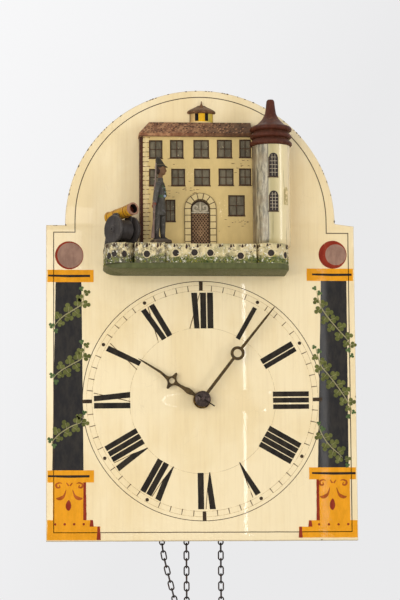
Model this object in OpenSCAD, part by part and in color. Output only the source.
// Painted wooden shield clock with a fortress scene, wooden-plate movement and chain-hung weights.
// X is to the right, Y goes back to the wall, Z is up, and the hanging hole is the origin.
// Millimetres throughout.

/* [Shield] */
// Width of the shield
shield_w = 260; // [255:1:300]
// From the dial centre down to the shield's lower edge
shield_drop = 117.5; // [112:0.5:150]
// From the dial centre up to the square shoulders
shoulder_rise = 147.5; // [145:0.5:170]
// Radius of the arched top
arch_r = 114; // [100:0.5:120]
// Height of the arch's centre above the shoulders
arch_lift = 2; // [0:0.5:6]
// Thickness of the shield board
shield_t = 12; // [9:0.5:16]
// Diameter of the hole that the hand arbors pass through
centre_hole_d = 14; // [12:0.5:18]
// Height of the hanging hole above the dial centre
hang_rise = 96; // [92:0.5:100]

/* [Case] */
// Width of the movement case over its side doors
case_w = 150; // [146:1:170]
// From the dial centre up to the top board
case_up = 75; // [74:0.5:80]
// From the dial centre down to the bottom board
case_down = 70; // [68:0.5:80]
// Thickness of the top and bottom boards
board_t = 7; // [6:0.5:9]
// Thickness of the side doors
door_t = 4; // [3.5:0.1:4.5]
// Thickness of the back board
back_t = 6; // [5:0.5:8]
// Thickness of the iron hanging strap and of the spacer battens
strap_t = 3; // [2:0.25:4]
// Width of the iron hanging strap
strap_w = 18; // [15:0.5:24]
// Diameter of the hanging hole
hang_hole_d = 8; // [6:0.5:10]
// Depth of the space that the pendulum swings in
pendulum_space = 18; // [17:0.5:24]
// Thickness of the two movement plates
plate_t = 6; // [5:0.5:8]
// Width of the movement plates
plate_w = 116; // [112:1:122]
// Gap between the movement plates
train_gap = 56; // [55:0.5:62]
// Gap between the front plate and the shield
motion_gap = 14; // [14:0.25:18]
// Diameter of the door pins
door_pin_d = 2; // [1.5:0.1:2.4]

/* [Going train] */
// Teeth on the going great wheel
great_teeth = 74; // [74:1:75]
// Module of the going great wheel
great_m = 0.7; // [0.69:0.005:0.705]
// Teeth on the second wheel
second_teeth = 75; // [72:1:76]
// Module of the second wheel
second_m = 0.6; // [0.59:0.005:0.61]
// Teeth on the escape wheel
escape_teeth = 30; // [24:1:36]
// Tip radius of the escape wheel
escape_r = 14; // [13:0.25:14.5]
// Length of the pendulum from its pivot to the middle of its bob
pendulum_len = 150; // [140:1:158]
// Radius of the pendulum bob
bob_r = 15; // [10:0.5:16]

/* [Strike train] */
// Teeth on the strike great wheel
strike_teeth = 78; // [76:1:78]
// Module of the strike wheels
strike_m = 0.55; // [0.54:0.005:0.555]
// Hammer pins on the strike great wheel
hammer_pins = 13; // [10:1:15]
// Teeth on the locking wheel
locking_teeth = 66; // [64:1:66]
// Teeth on the count wheel
count_teeth = 48; // [46:1:50]
// Outer radius of the notched count disc
count_disc_r = 19; // [16:0.5:19.5]
// Outer radius of the coiled gong
gong_r = 26; // [20:0.5:27]

/* [Lantern pinions] */
// Pins in each train pinion
lantern_pins = 6; // [6:1:6]
// Diameter of the pins in the train pinions
lantern_pin_d = 1; // [0.8:0.05:1.05]
// Radius of the thinner arbors
arbor_r = 1.25; // [1.1:0.05:1.3]
// Radius of the great wheel and hand arbors
main_arbor_r = 1.5; // [1.4:0.05:1.6]
// Radial clearance of everything that turns in a bush
running = 0.05; // [0.03:0.01:0.09]
// Thickness of the wheels
wheel_t = 2; // [1.6:0.1:2.2]

/* [Motion work] */
// Teeth on the driving wheel and on the minute wheel
drive_teeth = 36; // [36:1:36]
// Module of the intermediate wheel and its pinion on the minute arbor
motion_m = 0.8333; // [0.82:0.001:0.84]
// Pins in the pinion on the minute arbor
minute_pins = 12; // [12:1:12]
// Teeth on the intermediate wheel
inter_teeth = 36; // [36:1:36]
// Pins in the pinion on the intermediate wheel
inter_pins = 10; // [10:1:10]
// Teeth on the hour wheel
hour_teeth = 40; // [40:1:40]

/* [Hands] */
// Length of the minute hand from its centre
minute_len = 96.5; // [80:0.5:100]
// Length of the hour hand from its centre
hour_len = 63.5; // [50:0.5:70]
// Thickness of both hands
hand_t = 1.2; // [0.8:0.1:1.6]
// Clockwise angle of the minute hand from twelve
minute_angle = 37.6; // [0:0.1:360]
// Clockwise angle of the hour hand from twelve
hour_angle = 301.7; // [0:0.1:360]
// Outer radius of the ring in the minute hand
hand_ring_r = 5.9; // [5:0.1:7]
// Radius of the domed washer
washer_r = 6.7; // [5.5:0.1:8]

/* [Fortress] */
// Depth of the ledge board in front of the shield
ledge_depth = 45; // [44:0.5:55]
// Thickness of the ledge board
ledge_t = 5; // [4:0.25:7]
// From the dial centre up to the underside of the ledge
ledge_rise = 104.4; // [102:0.2:106]
// Left end of the ledge and rampart
ledge_left = -82.7; // [-85:0.1:-81]
// Right end of the ledge and rampart
ledge_right = 71; // [67:0.5:75]
// Height of the rampart wall
rampart_h = 16.9; // [16:0.1:20]
// Left edge of the castle front
castle_left = -51.9; // [-52.4:0.1:-50]
// Right edge of the castle front, beside the tower
castle_right = 43; // [41:0.5:45]
// Height of the castle front
castle_h = 95; // [90:0.5:100]
// Thickness of the castle front
castle_t = 12; // [10:0.5:13]
// Rise of the roof from its eave to its ridge
roof_rise = 13.6; // [10:0.2:18]
// Half the width of the drum of the small roof lantern, where it meets the shield
lantern_half = 9.9; // [8:0.1:11]
// Distance that this half-round drum stands out from the shield
lantern_out = 5; // [4:0.1:5.5]
// Height of that drum above the ridge
lantern_h = 8.2; // [6:0.2:10]
// Radius of the round tower
tower_r = 15.9; // [14:0.1:16.5]
// Height of the tower's stone column
tower_h = 85; // [80:0.5:90]
// Distance of the tower's axis in front of the shield
tower_out = 20; // [18:0.5:24]
// Largest radius of the rings of the tower roof
tower_ring_r = 17.9; // [17:0.1:19]

/* [Sentry and cannon] */
// Height of the sentry with his shako
sentry_h = 70.3; // [60:0.5:74]
// Distance of the sentry's axis in front of the shield
sentry_out = 34; // [33:0.5:36]
// Place of the sentry left or right of the dial centre
sentry_x = -35.6; // [-37:0.1:-34]
// Most that the sentry turns each way, in degrees
sentry_turn = 15; // [5:1:15]
// Diameter of the sentry's crank wire
crank_d = 1.5; // [1:0.1:1.6]
// Radius of the cannon's wheels
gun_wheel_r = 11.9; // [10:0.1:12]
// Length of the cannon's barrel
barrel_len = 36.5; // [32:0.1:38]
// Track between the middles of the cannon's wheels
gun_track = 18.2; // [18:0.1:19]

/* [Chains and weights] */
// Chain wire diameter
wire_d = 1.2; // [1:0.05:1.25]
// Pitch of the chain
pitch = 6.5; // [6.4:0.05:6.8]
// Links on the going side, from the sprocket down to the weight
going_links = 28; // [20:1:30]
// Links on the going side's free end
going_free = 13; // [4:1:14]
// Links on the strike side, from the sprocket down to the weight
strike_links = 26; // [20:1:30]
// Radius of the cast-iron weights
weight_r = 13; // [10:0.5:13.5]
// Length of the cast-iron weights
weight_len = 120; // [80:1:160]

/* [Hidden] */
$fn = 48;

// Small clearances
gap = 0.3;
fit = 0.02;
overlap = 0.01;

// Depths, counted back from the wall at zero
back_front = -strap_t - back_t;
rear_plate_back = back_front - pendulum_space;
rear_plate_front = rear_plate_back - plate_t;
front_plate_back = rear_plate_front - train_gap;
front_plate_front = front_plate_back - plate_t;
shield_back = front_plate_front - motion_gap;
shield_front = shield_back - shield_t;
chain_y = rear_plate_front - 37;
second_y = rear_plate_front - 15;
escape_y = rear_plate_front - 6.5;
gong_y = back_front - 2;

// Chain
sprocket_links = 10;
link_r = 1.975;
wrap_play = 0.26;
link_straight = pitch + 2 * wire_d + 0.1 - wire_d - 2 * link_r;
fall_r = pitch / 2 / sin(180 / sprocket_links);
ride_r = fall_r * cos(180 / sprocket_links);
shoulder_r = ride_r - wire_d / 2 - 0.2;
groove_r = ride_r - link_r - wire_d / 2 - 0.4;
flange_r = fall_r + 2.7;
flange_in = link_r + wire_d / 2 + 0.6;
sprocket_half = flange_in + 1.8;
great_t = 2.4;
great_y = chain_y + sprocket_half + 0.7 + great_t;
slack_start = 15;
slack_links = 13;
slack_tilt = 13.8;
chain_hole_r = 4.5;

// Train centres, in the plane of the dial, from the dial centre
centre = [0, 0];
going_pr = great_teeth * great_m / 2;
second_pr = second_teeth * second_m / 2;
going_pinion_pr = lantern_pins * great_m / 2;
second_pinion_pr = lantern_pins * second_m / 2;
going_at = [29.6, -14];
second_dir = 81;
second_at = going_at + (going_pr + going_pinion_pr) * unit(second_dir);
escape_dir = 109.2;
escape_at = second_at + (second_pr + second_pinion_pr) * unit(escape_dir);
anchor_rise = escape_r + 6.4;
anchor_at = escape_at + [0, anchor_rise];
strike_pr = strike_teeth * strike_m / 2;
locking_pr = locking_teeth * strike_m / 2;
strike_pinion_pr = lantern_pins * strike_m / 2;
strike_at = [-20.7, -14];
locking_dir = 104.5;
locking_at = strike_at + (strike_pr + strike_pinion_pr) * unit(locking_dir);
fly_dir = 109.3;
fly_at = locking_at + (locking_pr + strike_pinion_pr) * unit(fly_dir);
count_pins = 8;
count_pr = count_teeth * strike_m / 2;
count_pinion_pr = count_pins * strike_m / 2;
count_dir = 217;
count_at = strike_at + (count_pr + count_pinion_pr) * unit(count_dir);
hammer_at = [-47, 12];
gong_at = [-25, -22];
detent_at = [-52, 14];

// Motion work, with both wheels of each stage on the same two centres
drive_dir = atan2(going_at[1], going_at[0]);
drive_pr = norm(going_at) / 2;
drive_m = 2 * drive_pr / drive_teeth;
minute_pinion_pr = minute_pins * motion_m / 2;
inter_pr = inter_teeth * motion_m / 2;
motion_d = inter_pr + minute_pinion_pr;
inter_dir = 135;
inter_at = motion_d * unit(inter_dir);
hour_m = 2 * motion_d / (hour_teeth + inter_pins);
hour_pr = hour_teeth * hour_m / 2;
inter_pinion_pr = inter_pins * hour_m / 2;
drive_y = front_plate_front - 4;
inter_y = drive_y - wheel_t - 1.4;
inter_t = 1.8;
motion_shroud_y = inter_y - inter_t - 0.6;
motion_shroud_t = 0.8;
hour_y = motion_shroud_y - motion_shroud_t - 0.4;
hour_t = 1.6;
pipe_r = 4;
hour_hand_y = shield_front - 3.2;
minute_hand_y = hour_hand_y - hand_t - 3;
washer_h = 2.6;
pin_d = 1;
arbor_tip_y = minute_hand_y - hand_t - washer_h - pin_d - 1.6;

// Scene heights and places, from the dial centre
rampart_z = ledge_rise + ledge_t;
ground_z = rampart_z + rampart_h;
castle_top = ground_z + castle_h;
ridge_z = castle_top + roof_rise;
drum_top = ridge_z + lantern_h;
tower_x = castle_right + tower_r - 0.8;
tower_top = ground_z + tower_h;
step_x = [-58, -33.5, 43];
sentry_y = shield_front - sentry_out;
plinth_h = 3;
sentry_z = ground_z + gap + plinth_h;
crank_z = ledge_rise + ledge_t + 6.6;
lever_y = (shield_back + front_plate_front) / 2;
lever_t = 2;
lever_len = lever_y - sentry_y;
lever_z = crank_z - lever_len;
gun_at = [-67.6, 30];
gun_heading = -56;
gun_z = ground_z + gun_wheel_r + gap;
barrel_tilt = 6.5;

function unit(a) = [cos(a), sin(a)];

// A flat shape, drawn as seen from the front, as a panel whose back lies at depth y
module panel(y, t) {
    translate([0, y, 0]) rotate([90, 0, 0]) linear_extrude(t) children();
}

// A round bar along Y whose back end lies at depth y
module bar(at, y, len, r) {
    translate([at[0], y, at[1]]) rotate([90, 0, 0]) cylinder(h = len, r = r);
}

// Moves what is measured from the dial centre into the frame of the hanging hole
module on_dial() {
    translate([0, 0, -hang_rise]) children();
}

function polar(r, a) = [r * cos(a), r * sin(a)];

// One tooth as [height over the pitch circle, half thickness] pairs, root first
function lantern_tooth(m, pin) = let (w = (PI * m - pin) / 2 - 0.1)
    [[-1.07 * m, w], [0, w], [0.43 * m, w * 0.88], [0.79 * m, w * 0.6], [0.93 * m, w * 0.3]];
function spur_tooth(m) = let (w = PI * m / 4 - 0.09)
    [[-1.1 * m, w + 0.4 * m], [0, w], [0.85 * m, w - 0.34 * m]];
function tooth(pr, a, shape) = concat(
    [for (p = shape) polar(pr + p[0], a - asin(p[1] / (pr + p[0])))],
    [for (i = [len(shape) - 1 : -1 : 0])
        polar(pr + shape[i][0], a + asin(shape[i][1] / (pr + shape[i][0])))]);

// The outline of a wheel with a tooth space at angle a
module toothed(teeth, pr, shape, a) {
    polygon([for (k = [0 : teeth - 1]) each tooth(pr, a + 360 * (k + 0.5) / teeth, shape)]);
}

// A wheel with a rim, arms and a hub
module crossed(teeth, pr, shape, a, rim, hub_r, arms) {
    difference() {
        toothed(teeth, pr, shape, a);
        difference() {
            circle(r = pr - rim);
            circle(r = hub_r);
            for (k = [0 : arms - 1]) {
                rotate(360 * k / arms + 20) translate([0, -1.4]) square([pr, 2.8]);
            }
        }
    }
}

// A pinion of pins between two discs that stand clear of a wheel at depth y
module lantern(at, pr, pins, y, t, a) {
    disc_t = 1.2;
    side = 0.6;
    for (k = [0 : pins - 1]) {
        bar(at + polar(pr, a + 360 * k / pins), y + side + overlap, t + 2 * side + 2 * overlap,
            lantern_pin_d / 2);
    }
    bar(at, y + side + disc_t, disc_t, pr + lantern_pin_d / 2 + 0.35);
    bar(at, y - t - side, disc_t, pr + lantern_pin_d / 2 + 0.35);
}

// An arbor between the plates, with a pivot in each bush
module arbor(at, r, front, rear) {
    play = 0.3;
    pivot_r = r - 0.4;
    bar(at, rear_plate_front - play, train_gap - 2 * play, r);
    bar(at, rear, rear - front, pivot_r);
}

// Shield board, with the arched top, the hole for the hands and the slot for the sentry's crank
module shield_shape() {
    translate([-shield_w / 2, -shield_drop]) square([shield_w, shield_drop + shoulder_rise]);
    translate([-arch_r, 0]) square([2 * arch_r, shoulder_rise + arch_lift]);
    translate([0, shoulder_rise + arch_lift]) circle(r = arch_r, $fn = 160);
}
crank_reach = (sentry_out + shield_t) * tan(sentry_turn) + crank_d + 1;
module shield_board() {
    on_dial() color("wheat") panel(shield_back, shield_t) difference() {
        shield_shape();
        circle(r = centre_hole_d / 2);
        translate([sentry_x - crank_reach, crank_z - crank_d - 0.5])
            square([2 * crank_reach, 2 * crank_d + 1]);
    }
}

// Four blocks that the shield is pegged to
block_w = 12;
module shield_blocks() {
    on_dial() color("peru") for (sx = [-1, 1], z = [case_up - block_w - 1, -case_down + 1]) {
        translate([sx * (plate_w / 2 - block_w / 2) - block_w / 2, shield_back, z])
            cube([block_w, motion_gap, block_w]);
    }
}

// Ledge board under the fortress, rounded at both ends in plan
ledge_round_left = 18;
ledge_round_right = 14;
module ledge_plan() {
    rl = ledge_round_left;
    rr = ledge_round_right;
    difference() {
        translate([ledge_left, -ledge_depth]) square([ledge_right - ledge_left, ledge_depth]);
        translate([ledge_left - 1, -ledge_depth - 1]) square(rl + 1);
        translate([ledge_right - rr, -ledge_depth - 1]) square(rr + 1);
    }
    intersection() {
        translate([ledge_left + rl, -ledge_depth + rl]) circle(r = rl);
        translate([ledge_left, -ledge_depth]) square(rl + overlap);
    }
    intersection() {
        translate([ledge_right - rr, -ledge_depth + rr]) circle(r = rr);
        translate([ledge_right - rr - overlap, -ledge_depth]) square(rr + overlap);
    }
}
module ledge_board() {
    on_dial() color("darkolivegreen") translate([0, shield_front, ledge_rise])
        linear_extrude(ledge_t) ledge_plan();
}

// Rampart wall: round bastions at the ends, a square one, and a middle wall set back
rampart_set = 0.6;
middle_set = 5;
module rampart_plan() {
    l = ledge_left + rampart_set;
    r = ledge_right - rampart_set;
    d = ledge_depth - rampart_set;
    bl = (step_x[0] - l) / 2;
    br = (r - step_x[2]) / 2;
    translate([l, -d + bl]) square([step_x[0] - l, d - bl]);
    translate([l + bl, -d + bl]) circle(r = bl);
    translate([step_x[0] - overlap, -d]) square([step_x[1] - step_x[0] + overlap, d]);
    translate([step_x[1] - overlap, -d + middle_set])
        square([step_x[2] - step_x[1] + 2 * overlap, d - middle_set]);
    translate([step_x[2], -d + br]) square([r - step_x[2], d - br]);
    translate([r - br, -d + br]) circle(r = br);
}
pocket_h = 6;
spindle_r = 1.5;
module rampart() {
    on_dial() color("tan") difference() {
        translate([0, shield_front, rampart_z]) linear_extrude(rampart_h) rampart_plan();
        translate([sentry_x - crank_reach, sentry_y - 4, crank_z - pocket_h / 2])
            cube([2 * crank_reach, sentry_out + 5, pocket_h]);
        translate([sentry_x, sentry_y, crank_z])
            cylinder(h = rampart_h, r = spindle_r + running);
    }
}

// Castle front with shallow window and door recesses
recess = 1.2;
windows = [[-43.8, 203.7, 10.9, 15.1], [-26.1, 204, 10.9, 15.1], [-6.3, 204.2, 12.7, 15.1],
    [13.5, 204.5, 12.3, 15.1], [32.4, 204.8, 9.4, 15.1], [-43.9, 180, 10.5, 14.1],
    [-25.2, 180.2, 11.3, 14.1], [-5.9, 180.4, 13.1, 14.1], [14.7, 180.7, 12.2, 14.1],
    [32, 180.9, 9.8, 14.1], [-30.2, 149.5, 7.9, 18.3], [22.7, 154.8, 13.5, 17.2]];
door_x = -1.1;
door_w = 15.5;
door_h = 41.2;
arch_out = 13.4;
arch_band = 1.5;
module door_opening(grow) {
    r = door_w / 2 + grow;
    translate([door_x - r, ground_z]) square([2 * r, door_h - door_w / 2]);
    translate([door_x, ground_z + door_h - door_w / 2]) circle(r = r);
}
module castle_front() {
    on_dial() color("burlywood") difference() {
        union() {
            panel(shield_front, castle_t)
                translate([castle_left, ground_z]) square([castle_right - castle_left, castle_h]);
            panel(shield_front, castle_t + arch_band) intersection() {
                door_opening(arch_out - door_w / 2);
                translate([castle_left, ground_z]) square([castle_right - castle_left, castle_h]);
            }
        }
        for (w = windows) {
            panel(shield_front - castle_t + recess, 4) translate([w[0], w[1]]) square([w[2], w[3]]);
        }
        panel(shield_front - castle_t + recess, 4) door_opening(0);
    }
}

// Hipped roof slope, thin at the ridge and deep at the eave
eave_out = 15;
eave_t = 2.5;
ridge_out = lantern_out + 0.5;
hip_run = 9;
eave_left = castle_left - 0.6;
module castle_roof() {
    on_dial() color("sienna") hull() {
        translate([eave_left, shield_front - eave_out, castle_top])
            cube([castle_right - eave_left - gap, eave_out, eave_t]);
        translate([eave_left + hip_run, shield_front - ridge_out, ridge_z - overlap])
            cube([castle_right - eave_left - hip_run - gap, ridge_out, overlap]);
    }
}

// Small lantern on the ridge: a half-round drum with two openings, a cap and a spire
lantern_x = 1.2;
drum_r = (pow(lantern_half, 2) + pow(lantern_out, 2)) / (2 * lantern_out);
drum_axis = drum_r - lantern_out;
cap_half = lantern_half + 2.3;
cap_r = norm([cap_half, drum_axis]);
module half_round(z) {
    intersection() {
        translate([lantern_x, shield_front + drum_axis, z]) children();
        translate([lantern_x - 50, shield_front - 50, 0]) cube([100, 50, 400]);
    }
}
module roof_lantern() {
    slot_at = 4.2;
    slot_w = 2.8;
    on_dial() color("gold") difference() {
        half_round(ridge_z + gap / 4) cylinder(h = lantern_h - gap / 4, r = drum_r);
        for (sx = [-1, 1])
            translate([lantern_x + sx * slot_at - slot_w / 2, shield_front - lantern_out - 1, ridge_z + 1.6])
                cube([slot_w, 3, lantern_h]);
    }
}
module lantern_cap() {
    disc = 2.6;
    dome = 4.6;
    on_dial() color("saddlebrown") {
        half_round(drum_top) {
            cylinder(h = disc, r = cap_r);
            translate([0, 0, disc]) cylinder(h = dome, r1 = cap_r - 1.2, r2 = drum_axis + 0.6);
        }
        translate([lantern_x, shield_front - 1.6, drum_top + disc])
            cylinder(h = dome + 3.6, r1 = 1.4, r2 = 0.5);
    }
}

// Round corner tower with two window recesses
module tower_at(z) {
    translate([tower_x, shield_front - tower_out, z]) children();
}
module tower_column() {
    window_z = [30, 59];
    window_h = [17, 20];
    on_dial() color("tan") difference() {
        tower_at(ground_z) cylinder(h = tower_h, r = tower_r);
        translate([castle_right - 20, shield_front - castle_t - gap, ground_z - 1])
            cube([20, castle_t + 10, castle_h + 10]);
        for (k = [0, 1]) tower_at(ground_z + window_z[k]) {
            translate([-4.2, -tower_r - 1, 0]) cube([8.4, 2.6, window_h[k] - 4.2]);
            translate([0, -tower_r + 1.6, window_h[k] - 4.2]) rotate([90, 0, 0])
                cylinder(h = 2.6, r = 4.2);
        }
    }
}
module tower_roof() {
    rings = [[-0.4, 1], [6.1, 0.96], [12.6, 1]];
    on_dial() color("brown") difference() {
        tower_at(tower_top) rotate_extrude() polygon(concat([[0, 0]],
            [for (g = rings) each [[tower_ring_r * g[1] - 1.6, g[0] + 0.4],
                [tower_ring_r * g[1], g[0] + 1.4], [tower_ring_r * g[1], g[0] + 3.4],
                [tower_ring_r * g[1] - 1.6, g[0] + 5]]],
            [[13, 19.5], [8.6, 23], [6, 25.8], [4.7, 28.8], [4, 33], [3.1, 40.4], [0, 40.4]]));
        translate([castle_right - 60, shield_front - eave_out - gap, tower_top - 60])
            cube([60, 60, 60 + castle_top + roof_rise + gap - tower_top]);
    }
}

// Cannon, drawn along its own heading with its axle at the origin
module gun() {
    on_dial() translate([gun_at[0], shield_front - gun_at[1], gun_z]) rotate([0, 0, gun_heading]) children();
}
axle_r = 1.1;
gun_wheel_t = 2.4;
hub_r = 3;
cheek_t = 1.8;
cheek_gap = 11.4;
drum_between_r = 8.6;
barrel_axis = 14.4;
trunnion_drop = 2.4;
module cannon_carriage() {
    trunnion_z = barrel_axis - trunnion_drop;
    cheek = [[-15.5, -gun_wheel_r], [-11.5, -gun_wheel_r], [3, -3.6], [5, 0], [4.2, trunnion_z - 1],
        [1.8, trunnion_z + 1.8], [-3, trunnion_z + 1.8], [-5.5, 8], [-12, 1.5]];
    gun() color("saddlebrown") {
        for (sy = [-1, 1]) {
            translate([0, sy * (cheek_gap + cheek_t) / 2 + cheek_t / 2, 0]) rotate([90, 0, 0])
                linear_extrude(cheek_t) difference() {
                    polygon(cheek);
                    translate([0, trunnion_z]) circle(r = axle_r + fit);
                }
        }
        rotate([90, 0, 0]) translate([0, 0, -cheek_gap / 2 - overlap])
            cylinder(h = cheek_gap + 2 * overlap, r = drum_between_r);
        rotate([90, 0, 0]) translate([0, 0, -gun_track / 2 - gun_wheel_t / 2 - 1.6])
            cylinder(h = gun_track + gun_wheel_t + 3.2, r = axle_r);
        translate([-15.5, -cheek_gap / 2 - cheek_t, -gun_wheel_r - gap])
            cube([4, cheek_gap + 2 * cheek_t, gap + overlap]);
    }
}
module cannon_barrel() {
    tail = 20.5;
    mouth = barrel_len - tail;
    profile = [[0, -tail], [2.2, -tail], [4.6, -tail + 0.9], [5.4, -tail + 2], [5.4, -tail + 4],
        [4.9, -tail + 4.6], [4.7, mouth - 6], [5.1, mouth - 5.4], [5.1, mouth - 3.6], [4.8, mouth - 3],
        [5.3, mouth - 1], [5.3, mouth], [3.8, mouth], [3.8, 3], [0, 3]];
    gun() color("goldenrod") translate([0, 0, barrel_axis]) {
        rotate([0, 90 - barrel_tilt, 0]) rotate_extrude() polygon(profile);
        translate([0, 0, -trunnion_drop]) rotate([90, 0, 0])
            for (s = [0, 1]) mirror([0, 0, s]) translate([0, 0, 3])
                cylinder(h = cheek_gap / 2 + cheek_t - 3, r = axle_r);
    }
}
module gun_wheel(side) {
    dish = 0.5;
    face = gun_wheel_t / 2;
    bore = axle_r + running;
    rim = gun_wheel_r - 2;
    profile = [[bore, -face], [hub_r, -face], [hub_r + dish, -face + dish], [rim - dish, -face + dish],
        [rim, -face], [gun_wheel_r, -face], [gun_wheel_r, face], [rim, face], [rim - dish, face - dish],
        [hub_r + dish, face - dish], [hub_r, face + dish], [bore, face + dish]];
    gun() color("dimgray") translate([0, side * gun_track / 2, 0]) rotate([side * -90, 0, 0])
        rotate_extrude() polygon(profile);
}
module cannon_near_wheel() { gun_wheel(-1); }
module cannon_far_wheel() { gun_wheel(1); }

// Sentry, drawn facing right with his feet at the origin
module sentry_at(z) {
    on_dial() translate([sentry_x, sentry_y, z]) children();
}
body_scale = sentry_h / 70.3;
coat_foot = 21.5;
// Round limb from one point to another
module limb(from, to, r1, r2) {
    way = to - from;
    translate(from) rotate([0, acos(way[2] / norm(way)), atan2(way[1], way[0])])
        cylinder(h = norm(way), r1 = r1, r2 = r2);
}
module sentry_figure() {
    sentry_at(sentry_z) color("slategray") scale(body_scale) {
        for (sy = [-1, 1]) {
            translate([-2, sy * 2.6 - 2, 0]) cube([8, 4, 2.4]);
            translate([0, sy * 2.6, 2]) cylinder(h = coat_foot - 1, r1 = 2.1, r2 = 3);
            shoulder = [0.2, sy * 6.3, 44.6];
            elbow = [-2, sy * 6.7, 36];
            hand = [-4.4, sy * 6.3, 30.5];
            translate(shoulder) sphere(r = 2.3, $fn = 48);
            limb(shoulder, elbow, 2.1, 1.8);
            translate(elbow) sphere(r = 2.1, $fn = 48);
            limb(elbow, hand, 1.75, 1.5);
            translate(hand) sphere(r = 1.8, $fn = 48);
        }
        rotate_extrude($fn = 48) polygon([[0, coat_foot], [6.4, coat_foot], [6, 27], [4.8, 33.5],
            [5.2, 38], [5.9, 43], [5, 46.6], [2.2, 48.6], [0, 48.6]]);
        translate([0.6, 0, 47]) cylinder(h = 7.5, r = 2.2);
        translate([1, 0, 57.2]) sphere(r = 4.2, $fn = 72);
        translate([0.6, 0, 60]) cylinder(h = 10.3, r1 = 4.4, r2 = 4.8);
        translate([3.6, -3.2, 60.4]) cube([3, 6.4, 0.9]);
    }
}
module sentry_musket() {
    x = -7.4;
    sentry_at(sentry_z) color("saddlebrown") scale(body_scale) translate([0, 1.4, 0]) {
        translate([x - 1.6, -8.8, 0.8]) cube([3.2, 1.8, 14]);
        translate([x - 0.9, -8.8, 14]) cube([1.8, 1.8, 34]);
        translate([x, -7.9, 47]) cylinder(h = 17, r = 0.7);
    }
}
module sentry_plinth() {
    sentry_at(ground_z + gap) color("olivedrab") difference() {
        cylinder(h = plinth_h, r = 9);
        translate([0, 0, -1]) cylinder(h = plinth_h + 2, r = spindle_r);
    }
}
module sentry_crank() {
    arm = lever_len / cos(sentry_turn) + 1.6;
    sentry_at(0) color("silver") {
        translate([0, 0, crank_z - 2]) cylinder(h = ground_z + gap + plinth_h - crank_z + 2, r = spindle_r);
        translate([0, 0, crank_z]) rotate([-90, 0, 0]) cylinder(h = arm, r = crank_d / 2);
    }
}
// Lever behind the shield, whose fork takes the crank
stud_r = 1.25;
module sentry_lever() {
    slot_w = crank_d + 1.1;
    at = [sentry_x, lever_z];
    on_dial() color("silver") panel(lever_y + lever_t / 2, lever_t) translate(at) difference() {
        union() {
            circle(r = 4);
            translate([-3, 0]) square([6, lever_len + 6]);
        }
        circle(r = stud_r + running);
        translate([-slot_w / 2, lever_len - 5]) square([slot_w, 20]);
    }
}

// Hands, each drawn pointing up and then turned to its angle
module minute_hand() {
    ring_at = 48.5;
    on_dial() color("dimgray") panel(minute_hand_y, hand_t) rotate(-minute_angle) difference() {
        union() {
            circle(r = washer_r - 0.6);
            translate([0, ring_at]) circle(r = hand_ring_r);
            polygon([[-1.1, 0], [-0.9, ring_at], [-0.7, ring_at + 6], [-0.35, minute_len - 2],
                [0, minute_len], [0.35, minute_len - 2], [0.7, ring_at + 6], [0.9, ring_at], [1.1, 0]]);
        }
        circle(r = main_arbor_r);
        translate([0, ring_at]) circle(r = hand_ring_r - 2.3);
    }
}
module hour_hand() {
    star_at = 29.7;
    star = 8.1;
    on_dial() color("dimgray") panel(hour_hand_y, hand_t) rotate(-hour_angle) difference() {
        union() {
            circle(r = pipe_r + 2.4);
            polygon([[-1.2, 0], [-1, 9], [-1.95, 13.7], [-1.2, 18], [-0.9, star_at],
                [-0.6, hour_len - 12], [0, hour_len], [0.6, hour_len - 12], [0.9, star_at],
                [1.2, 18], [1.95, 13.7], [1, 9], [1.2, 0]]);
            translate([0, star_at]) difference() {
                polygon([[-star, 0], [0, star], [star, 0], [0, -star]]);
                for (q = [0 : 3]) rotate(90 * q) translate([6.4, 6.4]) circle(r = 4.3);
            }
        }
        circle(r = pipe_r);
        translate([0, star_at]) circle(r = 2.35);
    }
}
module hand_washer() {
    y = minute_hand_y - hand_t;
    on_dial() color("dimgray") difference() {
        translate([0, y, 0]) rotate([90, 0, 0]) rotate_extrude() polygon([[0, 0], [washer_r, 0],
            [washer_r, 0.5], [washer_r - 0.9, 1.3], [washer_r - 2.4, 2.1], [2.6, washer_h], [0, washer_h]]);
        bar(centre, y + 1, washer_h + 2, main_arbor_r);
    }
}
pin_tilt = -33;
module hand_pin() {
    y = minute_hand_y - hand_t - washer_h - pin_d / 2;
    on_dial() color("silver") translate([0, y, 0]) rotate([0, 90 - pin_tilt, 0])
        translate([0, 0, -5.4]) cylinder(h = 17, r1 = pin_d / 2 - 0.12, r2 = pin_d / 2);
}

// Hand arbor with its minute wheel and the pins of its pinion, from the rear plate to the hands
module minute_arbor() {
    y = drive_y - wheel_t;
    on_dial() color("silver") difference() {
        union() {
            bar(centre, rear_plate_back, 3.5, arbor_r - 0.25);
            bar(centre, rear_plate_back - 3.5 + overlap, plate_t - 3.2, arbor_r - 0.25);
            bar(centre, rear_plate_front - 0.3, rear_plate_front - 0.3 - arbor_tip_y, main_arbor_r);
            bar(centre, front_plate_front - 0.4, front_plate_front - 0.4 - motion_shroud_y, 3);
            panel(drive_y, wheel_t) crossed(drive_teeth, drive_pr, spur_tooth(drive_m),
                drive_dir, 3, 7.4, 4);
            for (k = [0 : minute_pins - 1]) {
                bar(polar(minute_pinion_pr, inter_dir + 360 * k / minute_pins), y + overlap,
                    y - motion_shroud_y + 2 * overlap, lantern_pin_d / 2);
            }
            bar(centre, motion_shroud_y, motion_shroud_t, minute_pinion_pr + 0.9);
        }
        translate([0, minute_hand_y - hand_t - washer_h - pin_d / 2, 0]) rotate([0, 90 - pin_tilt, 0])
            translate([0, 0, -5]) cylinder(h = 10, r = pin_d / 2);
    }
}
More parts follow.
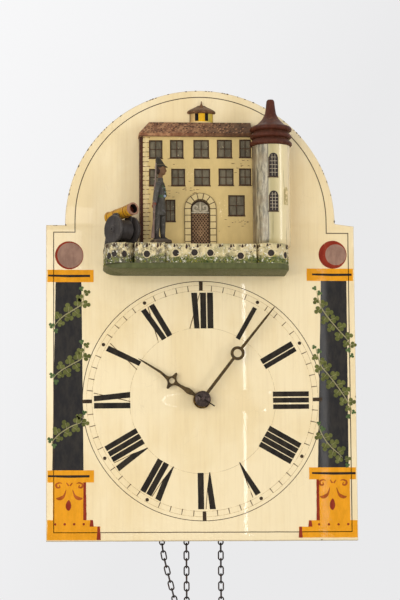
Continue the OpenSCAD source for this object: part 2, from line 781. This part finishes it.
// Wheel on the going arbor that drives the minute wheel through a friction spring
module driving_wheel() {
    on_dial() color("goldenrod") translate([going_at[0], 0, going_at[1]]) panel(drive_y, wheel_t)
        difference() {
            crossed(drive_teeth, drive_pr, spur_tooth(drive_m), drive_dir + 180 + 180 / drive_teeth, 3, 5, 4);
            circle(r = main_arbor_r + fit);
        }
}
module friction_spring() {
    y = drive_y - wheel_t;
    on_dial() color("gold") translate([going_at[0], 0, going_at[1]]) {
        panel(y, 0.5) difference() {
            intersection() {
                circle(r = 7);
                translate([-7, -2]) square([14, 4]);
            }
            circle(r = main_arbor_r + fit);
        }
        for (sx = [-1, 1]) translate([sx * 6 - 0.6, y - 1.4, -1.6]) cube([1.2, 1, 3.2]);
    }
}
module intermediate_wheel() {
    on_dial() color("goldenrod") difference() {
        union() {
            translate([inter_at[0], 0, inter_at[1]]) panel(inter_y, inter_t) crossed(inter_teeth,
                inter_pr, lantern_tooth(motion_m, lantern_pin_d), inter_dir + 180, 2.6, 5.2, 4);
            bar(inter_at, inter_y, inter_y - hour_y + hour_t + 0.4, 2.5);
            for (k = [0 : inter_pins - 1]) {
                bar(inter_at + polar(inter_pinion_pr, inter_dir + 180 + 360 * k / inter_pins),
                    inter_y - inter_t + overlap, inter_y - inter_t - hour_y + hour_t + 0.4,
                    lantern_pin_d / 2);
            }
        }
        bar(inter_at, inter_y + 1, 20, stud_r + running);
    }
}
module hour_wheel() {
    y = hour_y;
    on_dial() color("goldenrod") difference() {
        union() {
            panel(y, hour_t) crossed(hour_teeth, hour_pr, lantern_tooth(hour_m, lantern_pin_d),
                inter_dir, 2.8, pipe_r + 2, 4);
            bar(centre, y, y - hour_hand_y + hand_t + 1, pipe_r);
        }
        bar(centre, y + 1, 40, main_arbor_r + running);
    }
}

// Going train
module going_great_wheel() {
    on_dial() color("goldenrod") {
        bar(going_at, rear_plate_front - 0.3, train_gap - 0.6, main_arbor_r);
        bar(going_at, rear_plate_back, plate_t + overlap + 0.3, main_arbor_r - 0.4);
        bar(going_at, front_plate_back + 0.3 + overlap, plate_t + 11.4, main_arbor_r - 0.4);
        bar(going_at, great_y + 3, 3, 4);
        translate([going_at[0], 0, going_at[1]]) panel(great_y, great_t) crossed(great_teeth, going_pr,
            lantern_tooth(great_m, lantern_pin_d), second_dir, 3.2, 9, 4);
    }
}
// A sprocket with a groove for the upright links and shoulders for the flat ones
module sprocket(at) {
    on_dial() color("peru") difference() {
        union() {
            bar(at, chain_y + sprocket_half, 2 * sprocket_half, groove_r);
            for (y = [chain_y + sprocket_half, chain_y - 1.3]) bar(at, y, sprocket_half - 1.3, shoulder_r);
            for (y = [chain_y + sprocket_half, chain_y - flange_in]) {
                bar(at, y, sprocket_half - flange_in, flange_r);
            }
        }
        bar(at, chain_y + 10, 20, main_arbor_r + running);
    }
}
module going_sprocket() { sprocket(going_at); }
module second_wheel() {
    on_dial() color("goldenrod") {
        arbor(second_at, arbor_r, front_plate_front, rear_plate_back);
        translate([second_at[0], 0, second_at[1]]) panel(second_y, wheel_t) crossed(second_teeth,
            second_pr, lantern_tooth(second_m, lantern_pin_d), escape_dir, 2.8, 5, 4);
        lantern(second_at, going_pinion_pr, lantern_pins, great_y, great_t, second_dir + 180);
    }
}
module escape_wheel() {
    on_dial() color("goldenrod") {
        arbor(escape_at, arbor_r, front_plate_front, rear_plate_back);
        translate([escape_at[0], 0, escape_at[1]]) panel(escape_y, 1.5) crossed(escape_teeth,
            escape_r - 1.8, [[0, 0.9], [1.8, 0.12]], 0, 2, 4, 4);
        lantern(escape_at, second_pinion_pr, lantern_pins, second_y, wheel_t, escape_dir + 180);
    }
}
// Anchor with its arbor and the crutch that reaches back to the pendulum rod
swing = 4;
rod_y = (rear_plate_back + back_front) / 2;
rod_r = 0.8;
crutch_drop = 38;
module anchor() {
    pallet = 14.4;
    reach = escape_r + 1.5;
    t = 2.5;
    on_dial() color("silver") {
        arbor(anchor_at, arbor_r, front_plate_front, rear_plate_back + 1);
        translate([anchor_at[0], 0, anchor_at[1]]) panel(escape_y + 0.5, t) {
            circle(r = 3);
            for (s = [-1, 1]) {
                polygon([[-1, 1], [1, 1], [s * 14.2, -3.2], [s * 14.2, -7.4], [s * 11.4, -10.4],
                    [s * 11.2, -7.6], [s * 11.4, -4.4], [s * 1, -1.6]]);
            }
        }
        bar(anchor_at, rear_plate_back + 3.4, 3.1, 2.4);
        translate([anchor_at[0] - 1.2, rear_plate_back + 1.4, anchor_at[1] - crutch_drop])
            cube([2.4, 1.6, crutch_drop]);
        for (sx = [-1, 1]) {
            translate([anchor_at[0] + sx * 1.9 - 0.6, rear_plate_back + 1.4, anchor_at[1] - crutch_drop])
                cube([1.2, rod_y - rear_plate_back + 1, 2]);
        }
        translate([anchor_at[0] - 2.5, rear_plate_back + 1.4, anchor_at[1] - crutch_drop]) cube([5, 1.6, 2]);
    }
}
module pendulum_rod() {
    on_dial() color("silver") {
        difference() {
            bar(anchor_at, rod_y + 1, 2, 2.8);
            bar(anchor_at, rod_y + 3, 6, rod_r + running);
        }
        translate([anchor_at[0], rod_y, anchor_at[1] - pendulum_len - 8])
            cylinder(h = pendulum_len + 8 - 2, r = rod_r);
    }
}
module pendulum_bob() {
    t = 6;
    z = anchor_at[1] - pendulum_len;
    on_dial() color("goldenrod") difference() {
        translate([anchor_at[0], rod_y + t / 2, z]) rotate([90, 0, 0]) rotate_extrude()
            polygon([[0, 0], [bob_r - 5, 0.4], [bob_r, 2], [bob_r, t - 2], [bob_r - 5, t - 0.4], [0, t]]);
        translate([anchor_at[0], rod_y, z - 30]) cylinder(h = 60, r = rod_r + fit);
    }
}
// Bracket on the rear plate with the pin that the pendulum hangs on
module suspension_post() {
    front = rear_plate_back;
    end = rod_y + 6;
    on_dial() color("silver") {
        translate([anchor_at[0] - 4, front, anchor_at[1] + 5]) cube([8, end - front, 4]);
        translate([anchor_at[0] - 4, end - 2, anchor_at[1] - 3]) cube([8, 2, 8 + overlap]);
        bar(anchor_at, end - 2 + overlap, end - 2 - rod_y + 2, rod_r);
    }
}

// Strike train
pin_ring = 17;
module strike_great_wheel() {
    on_dial() color("goldenrod") {
        bar(strike_at, rear_plate_front - 0.3, train_gap - 0.6, main_arbor_r);
        bar(strike_at, rear_plate_back, plate_t + overlap + 0.3, main_arbor_r - 0.4);
        bar(strike_at, front_plate_back + 0.3 + overlap, plate_t + 4.9, main_arbor_r - 0.4);
        bar(strike_at, great_y + 3, 3, 4);
        translate([strike_at[0], 0, strike_at[1]]) panel(great_y, great_t) crossed(strike_teeth, strike_pr,
            lantern_tooth(strike_m, 0.8), locking_dir, 6.4, 8, 4);
        for (k = [0 : hammer_pins - 1]) {
            bar(strike_at + polar(pin_ring, 360 * k / hammer_pins), great_y + 4.6, 4.6 + overlap, 0.8);
        }
        for (k = [0 : count_pins - 1]) {
            bar(strike_at + polar(count_pinion_pr, count_dir + 360 * k / count_pins),
                front_plate_front - 1, 3.4, 0.4);
        }
        bar(strike_at, front_plate_front - 0.5, 1, count_pinion_pr + 0.8);
    }
}
module strike_sprocket() { sprocket(strike_at); }
module thin_lantern(at, y, t, a) {
    for (k = [0 : lantern_pins - 1]) {
        bar(at + polar(strike_pinion_pr, a + 360 * k / lantern_pins), y + 0.61, t + 1.22, 0.4);
    }
    bar(at, y + 1.8, 1.2, strike_pinion_pr + 0.75);
    bar(at, y - t - 0.6, 1.2, strike_pinion_pr + 0.75);
}
module slim_arbor(at, y, t) {
    bar(at, rear_plate_front - 0.3, rear_plate_front - 0.3 - y - 1.2, arbor_r);
    bar(at, y - t - 1.2, y - t - 1.2 - front_plate_back - 0.3, arbor_r);
    bar(at, rear_plate_back, plate_t + train_gap + plate_t, arbor_r - 0.4);
}
module locking_wheel() {
    on_dial() color("goldenrod") {
        slim_arbor(locking_at, great_y, great_t);
        translate([locking_at[0], 0, locking_at[1]]) panel(second_y, wheel_t) crossed(locking_teeth,
            locking_pr, lantern_tooth(strike_m, 0.8), fly_dir, 2.8, 5, 4);
        thin_lantern(locking_at, great_y, great_t, locking_dir + 180);
    }
}
fly_r = 14;
module fly() {
    on_dial() color("silver") {
        slim_arbor(fly_at, second_y, wheel_t);
        thin_lantern(fly_at, second_y, wheel_t, fly_dir + 180);
        translate([fly_at[0] - fly_r, great_y - 22, fly_at[1] - 0.4]) cube([2 * fly_r, 20, 0.8]);
        bar(fly_at, great_y - 1, 22, 2);
    }
}
// Notched disc and its toothed wheel on one hub
module count_wheel() {
    gear_y = front_plate_front - 2;
    disc_y = gear_y - 3;
    notches = [for (h = 1, s = 1; h <= 12; h = h + 1, s = s + h) s];
    on_dial() color("goldenrod") difference() {
        union() {
            translate([count_at[0], 0, count_at[1]]) panel(gear_y, 1.6) toothed(count_teeth, count_pr,
                lantern_tooth(strike_m, 0.8), count_dir + 180);
            bar(count_at, gear_y, 4.6, 4);
            translate([count_at[0], 0, count_at[1]]) panel(disc_y, 1.4) difference() {
                circle(r = count_disc_r);
                for (s = notches) rotate(-360 * s / 78) translate([-0.9, count_disc_r - 2]) square([1.8, 4]);
            }
        }
        bar(count_at, gear_y + 1, 10, stud_r + running);
    }
}
// Lever that drops into the count disc, lifted once an hour
module strike_lever() {
    y = front_plate_front - 5;
    tip = count_at + [-6, count_disc_r + 1.4];
    on_dial() color("silver") panel(y, 1.6) translate(detent_at) difference() {
        union() {
            circle(r = 3.4);
            translate(tip - detent_at) translate([-1, 0]) square([2, 2]);
            polygon([[0, 1.6], tip - detent_at + [1, 2], tip - detent_at + [-1, 0], [0, -1.6]]);
            translate([-1.3, 0]) square([2.6, 14]);
        }
        circle(r = stud_r + running);
    }
}
// Hammer on its own arbor, with its tail clear of the pins and its head over the gong
module hammer() {
    to = strike_at - hammer_at;
    tail = norm(to) - pin_ring - 1.8;
    head_x = 22;
    on_dial() color("silver") {
        arbor(hammer_at, arbor_r, front_plate_front, rear_plate_back + 1);
        translate([hammer_at[0], 0, hammer_at[1]]) {
            panel(great_y + 4.4, 2.4) union() {
                circle(r = 3);
                rotate(atan2(to[1], to[0])) translate([0, -1.2]) square([tail, 2.4]);
            }
            translate([0, rear_plate_back + gap, 0]) rotate([-90, 0, 0])
                cylinder(h = gong_y - rear_plate_back - gap, r = arbor_r);
            translate([0, gong_y - 2, 0]) rotate([0, 90, 0]) cylinder(h = head_x, r = 0.9);
            translate([head_x, gong_y - 3, -6]) cylinder(h = 12, r = 4);
        }
    }
}
// Coiled gong of flat steel, one unbroken spiral on its post
gong_turns = 4;
gong_in = 5;
gong_strip = 1.2;
function gong_radius(a) = gong_in + (gong_r - gong_in) * a / (360 * gong_turns);
gong_steps = 36 * gong_turns;
function gong_point(i, side = 0) = polar(gong_radius(10 * i) + side * gong_strip / 2, -10 * i + 90);
// Least gap of the spiral to its next turn, measured between the points of its middle line
gong_gap = min([for (i = [0 : gong_steps - 42], j = [30 : 42]) norm(gong_point(i + j) - gong_point(i))])
    - gong_strip;
echo(gong_gap = gong_gap);
module gong_coil() {
    outline = concat([for (i = [0 : gong_steps]) gong_point(i, 1)],
        [for (i = [gong_steps : -1 : 0]) gong_point(i, -1)]);
    on_dial() color("slategray") translate([gong_at[0], 0, gong_at[1]]) panel(gong_y, 2) polygon(outline);
}
module gong_post() {
    r = gong_in - gong_strip / 2 - fit;
    on_dial() color("slategray") bar(gong_at, back_front, back_front - gong_y + 4, r);
}

// Case boards
module chain_holes() {
    for (at = [going_at, strike_at], s = [-1, 1]) translate([at[0] + s * fall_r, chain_y, 0]) children();
}
module top_board() {
    lever_gap = board_t + case_up - lever_z;
    w = lever_gap * tan(sentry_turn) + 4.5;
    on_dial() color("peru") difference() {
        translate([-case_w / 2, shield_back, case_up]) cube([case_w, back_front - shield_back, board_t]);
        translate([sentry_x - w, lever_y - lever_t / 2 - 1, case_up - 1])
            cube([2 * w, lever_t + 2, board_t + 2]);
        pin_holes(case_up - 1, board_t + 2);
    }
}
module bottom_board() {
    w = (anchor_at[1] + case_down + board_t) * sin(swing) + 3;
    on_dial() color("peru") difference() {
        translate([-case_w / 2, shield_back, -case_down - board_t])
            cube([case_w, back_front - shield_back, board_t]);
        translate([0, 0, -case_down - board_t - 1]) chain_holes() cylinder(h = board_t + 2, r = chain_hole_r);
        translate([anchor_at[0] - w, rod_y - 4, -case_down - board_t - 1]) cube([2 * w, 8, board_t + 2]);
        pin_holes(-case_down - board_t - 1, board_t + 2);
    }
}
module back_board() {
    h = case_up + case_down + 2 * board_t;
    on_dial() color("peru") {
        translate([-case_w / 2, back_front, -case_down - board_t]) cube([case_w, back_t, h]);
        for (z = [-case_down, case_up - 18]) for (sx = [-1, 1]) {
            translate([sx * (case_w / 4 + strap_w / 4) - (case_w / 2 - strap_w / 2) / 2 + 0.5, -strap_t, z])
                cube([case_w / 2 - strap_w / 2 - 1, strap_t, 12]);
        }
    }
}
module plate(y, bores) {
    on_dial() color("peru") difference() {
        translate([-plate_w / 2, y - plate_t, -case_down]) cube([plate_w, plate_t, case_up + case_down]);
        for (at = bores) bar(at, y + 1, plate_t + 2, bush_r);
    }
}
bush_r = 3;
train_centres = [centre, going_at, second_at, escape_at, anchor_at, strike_at, locking_at, fly_at, hammer_at];
module front_plate() { plate(front_plate_back, train_centres); }
module rear_plate() { plate(rear_plate_back, train_centres); }
// Bushes: one in each plate for each arbor
module brass_bushes() {
    main_pivot = main_arbor_r - 0.4;
    thin_pivot = arbor_r - 0.4;
    rear = [arbor_r - 0.25, main_pivot, thin_pivot, thin_pivot, thin_pivot, main_pivot, thin_pivot,
        thin_pivot, thin_pivot];
    front = concat([main_arbor_r], [for (i = [1 : 8]) rear[i]]);
    on_dial() color("gold") for (i = [0 : 8]) {
        bush(train_centres[i], rear_plate_back, rear[i]);
        bush(train_centres[i], front_plate_back, front[i]);
    }
}
module bush(at, y, pivot) {
    difference() {
        bar(at, y, plate_t, bush_r - fit);
        bar(at, y + 1, plate_t + 2, pivot + running);
    }
}
// Studs in the front plate for the wheels and levers behind the shield
module front_studs() {
    deep = front_plate_front - hour_y + hour_t + 0.6;
    on_dial() color("silver") {
        bar(inter_at, front_plate_front, deep, stud_r);
        bar(count_at, front_plate_front, 7.6, stud_r);
        bar(detent_at, front_plate_front, 7.6, stud_r);
        bar([sentry_x, lever_z], front_plate_front, 9.6, stud_r);
    }
}

// Doors on wire pins
door_x0 = case_w / 2 - door_t / 2;
hinge_y = back_front - 4;
door_pin_in = 8;
module pin_holes(z, h) {
    for (sx = [-1, 1]) translate([sx * door_x0, hinge_y, z]) cylinder(h = h, r = door_pin_d / 2 + fit);
}
module door(side) {
    h = case_up + case_down - 2 * gap;
    on_dial() color("sienna") difference() {
        translate([side * door_x0 - door_t / 2, shield_back + 1.5, -case_down + gap])
            cube([door_t, hinge_y + 2 - shield_back - 1.5, h]);
        for (z = [-case_down, case_up - door_pin_in]) {
            translate([side * door_x0, hinge_y, z - 1])
                cylinder(h = door_pin_in + 2, r = door_pin_d / 2 + running);
        }
    }
}
module left_door() { door(-1); }
module right_door() { door(1); }
module door_pins() {
    on_dial() color("silver") for (sx = [-1, 1]) {
        translate([sx * door_x0, hinge_y, -case_down - board_t])
            cylinder(h = board_t + door_pin_in - 1, r = door_pin_d / 2);
        translate([sx * door_x0, hinge_y, case_up - door_pin_in + 1])
            cylinder(h = board_t + door_pin_in - 1, r = door_pin_d / 2);
    }
}
// Iron strap on the back board, whose hole hangs on the wall hook
module hanging_strap() {
    on_dial() color("dimgray") panel(0, strap_t) difference() {
        union() {
            translate([-strap_w / 2, case_up - 30]) square([strap_w, hang_rise - case_up + 30]);
            translate([0, hang_rise]) circle(r = strap_w / 2);
        }
        translate([0, hang_rise]) circle(r = hang_hole_d / 2);
    }
}

// Chains: one link lies along Z about the origin, and odd links are turned a quarter
module link(play = 0) {
    straight = link_straight + play;
    for (s = [-1, 1]) {
        translate([s * link_r, 0, -straight / 2]) cylinder(h = straight, r = wire_d / 2, $fn = 16);
        translate([0, 0, s * straight / 2]) rotate([s > 0 ? 90 : -90, 0, 0])
            rotate_extrude(angle = 180, $fn = 24) translate([link_r, 0]) circle(r = wire_d / 2, $fn = 16);
    }
}
// The tilts of the links from one end to the other, in degrees from straight down
function fall(n) = [for (i = [1 : n]) 0];
function slack(n) = concat(fall(slack_start), [for (i = [1 : 4]) slack_tilt * i / 4],
    [for (i = [1 : n]) slack_tilt]);
function step(tilt) = pitch * [sin(tilt), -cos(tilt)];
function walk(at, tilts, i) = i == 0 ? at : walk(at, tilts, i - 1) + step(tilts[i - 1]);
module run(at, tilts, first) {
    for (i = [0 : len(tilts) - 1]) {
        p = (walk(at, tilts, i) + walk(at, tilts, i + 1)) / 2;
        translate([p[0], chain_y, p[1]]) rotate([0, -tilts[i], 0])
            rotate([0, 0, 90 * ((i + first) % 2)]) link();
    }
}
module over(at) {
    for (i = [0 : sprocket_links / 2 - 1]) {
        a = 360 / sprocket_links * (i + 0.5);
        translate([at[0] + ride_r * cos(a), chain_y, at[1] + ride_r * sin(a)])
            rotate([0, -a, 0]) rotate([0, 0, 90 * (i % 2)]) link(wrap_play);
    }
}
module going_chain() {
    on_dial() color("dimgray") {
        over(going_at);
        run(going_at - [fall_r, 0], fall(going_links), 1);
        run(going_at + [fall_r, 0], fall(going_free), 1);
    }
}
module strike_chain() {
    on_dial() color("dimgray") {
        over(strike_at);
        run(strike_at + [fall_r, 0], fall(strike_links), 1);
        run(strike_at - [fall_r, 0], slack(strike_links - slack_start - 3), 1);
    }
}
// Weights: each hangs by its hook in the last link
module weight(at, links) {
    hook_r = 3;
    z = at[1] - links * pitch - hook_r + wire_d / 2 + 0.1;
    on_dial() translate([at[0], chain_y, z]) {
        color("dimgray") {
            rotate([90, 0, 90 * ((links + 1) % 2)]) rotate_extrude($fn = 32)
                translate([hook_r, 0]) circle(r = wire_d / 2, $fn = 16);
            translate([0, 0, -hook_r - 9]) cylinder(h = 9 + overlap, r = 1.2);
            translate([0, 0, -hook_r - 8 - weight_len]) rotate_extrude() polygon([[0, 0], [weight_r - 3, 0],
                [weight_r, 3], [weight_r, weight_len - 5], [weight_r - 5, weight_len], [0, weight_len]]);
        }
    }
}
module going_weight() { weight(going_at - [fall_r, 0], going_links); }
module strike_weight() { weight(strike_at + [fall_r, 0], strike_links); }

shield_board();
shield_blocks();
ledge_board();
rampart();
castle_front();
castle_roof();
roof_lantern();
lantern_cap();
tower_column();
tower_roof();
cannon_carriage();
cannon_barrel();
cannon_near_wheel();
cannon_far_wheel();
sentry_figure();
sentry_musket();
sentry_plinth();
sentry_crank();
sentry_lever();
minute_hand();
hour_hand();
hand_washer();
hand_pin();
minute_arbor();
driving_wheel();
friction_spring();
intermediate_wheel();
hour_wheel();
going_great_wheel();
going_sprocket();
second_wheel();
escape_wheel();
anchor();
pendulum_rod();
pendulum_bob();
suspension_post();
strike_great_wheel();
strike_sprocket();
locking_wheel();
fly();
count_wheel();
strike_lever();
hammer();
gong_coil();
gong_post();
top_board();
bottom_board();
back_board();
front_plate();
rear_plate();
front_studs();
brass_bushes();
left_door();
right_door();
door_pins();
hanging_strap();
going_chain();
strike_chain();
going_weight();
strike_weight();
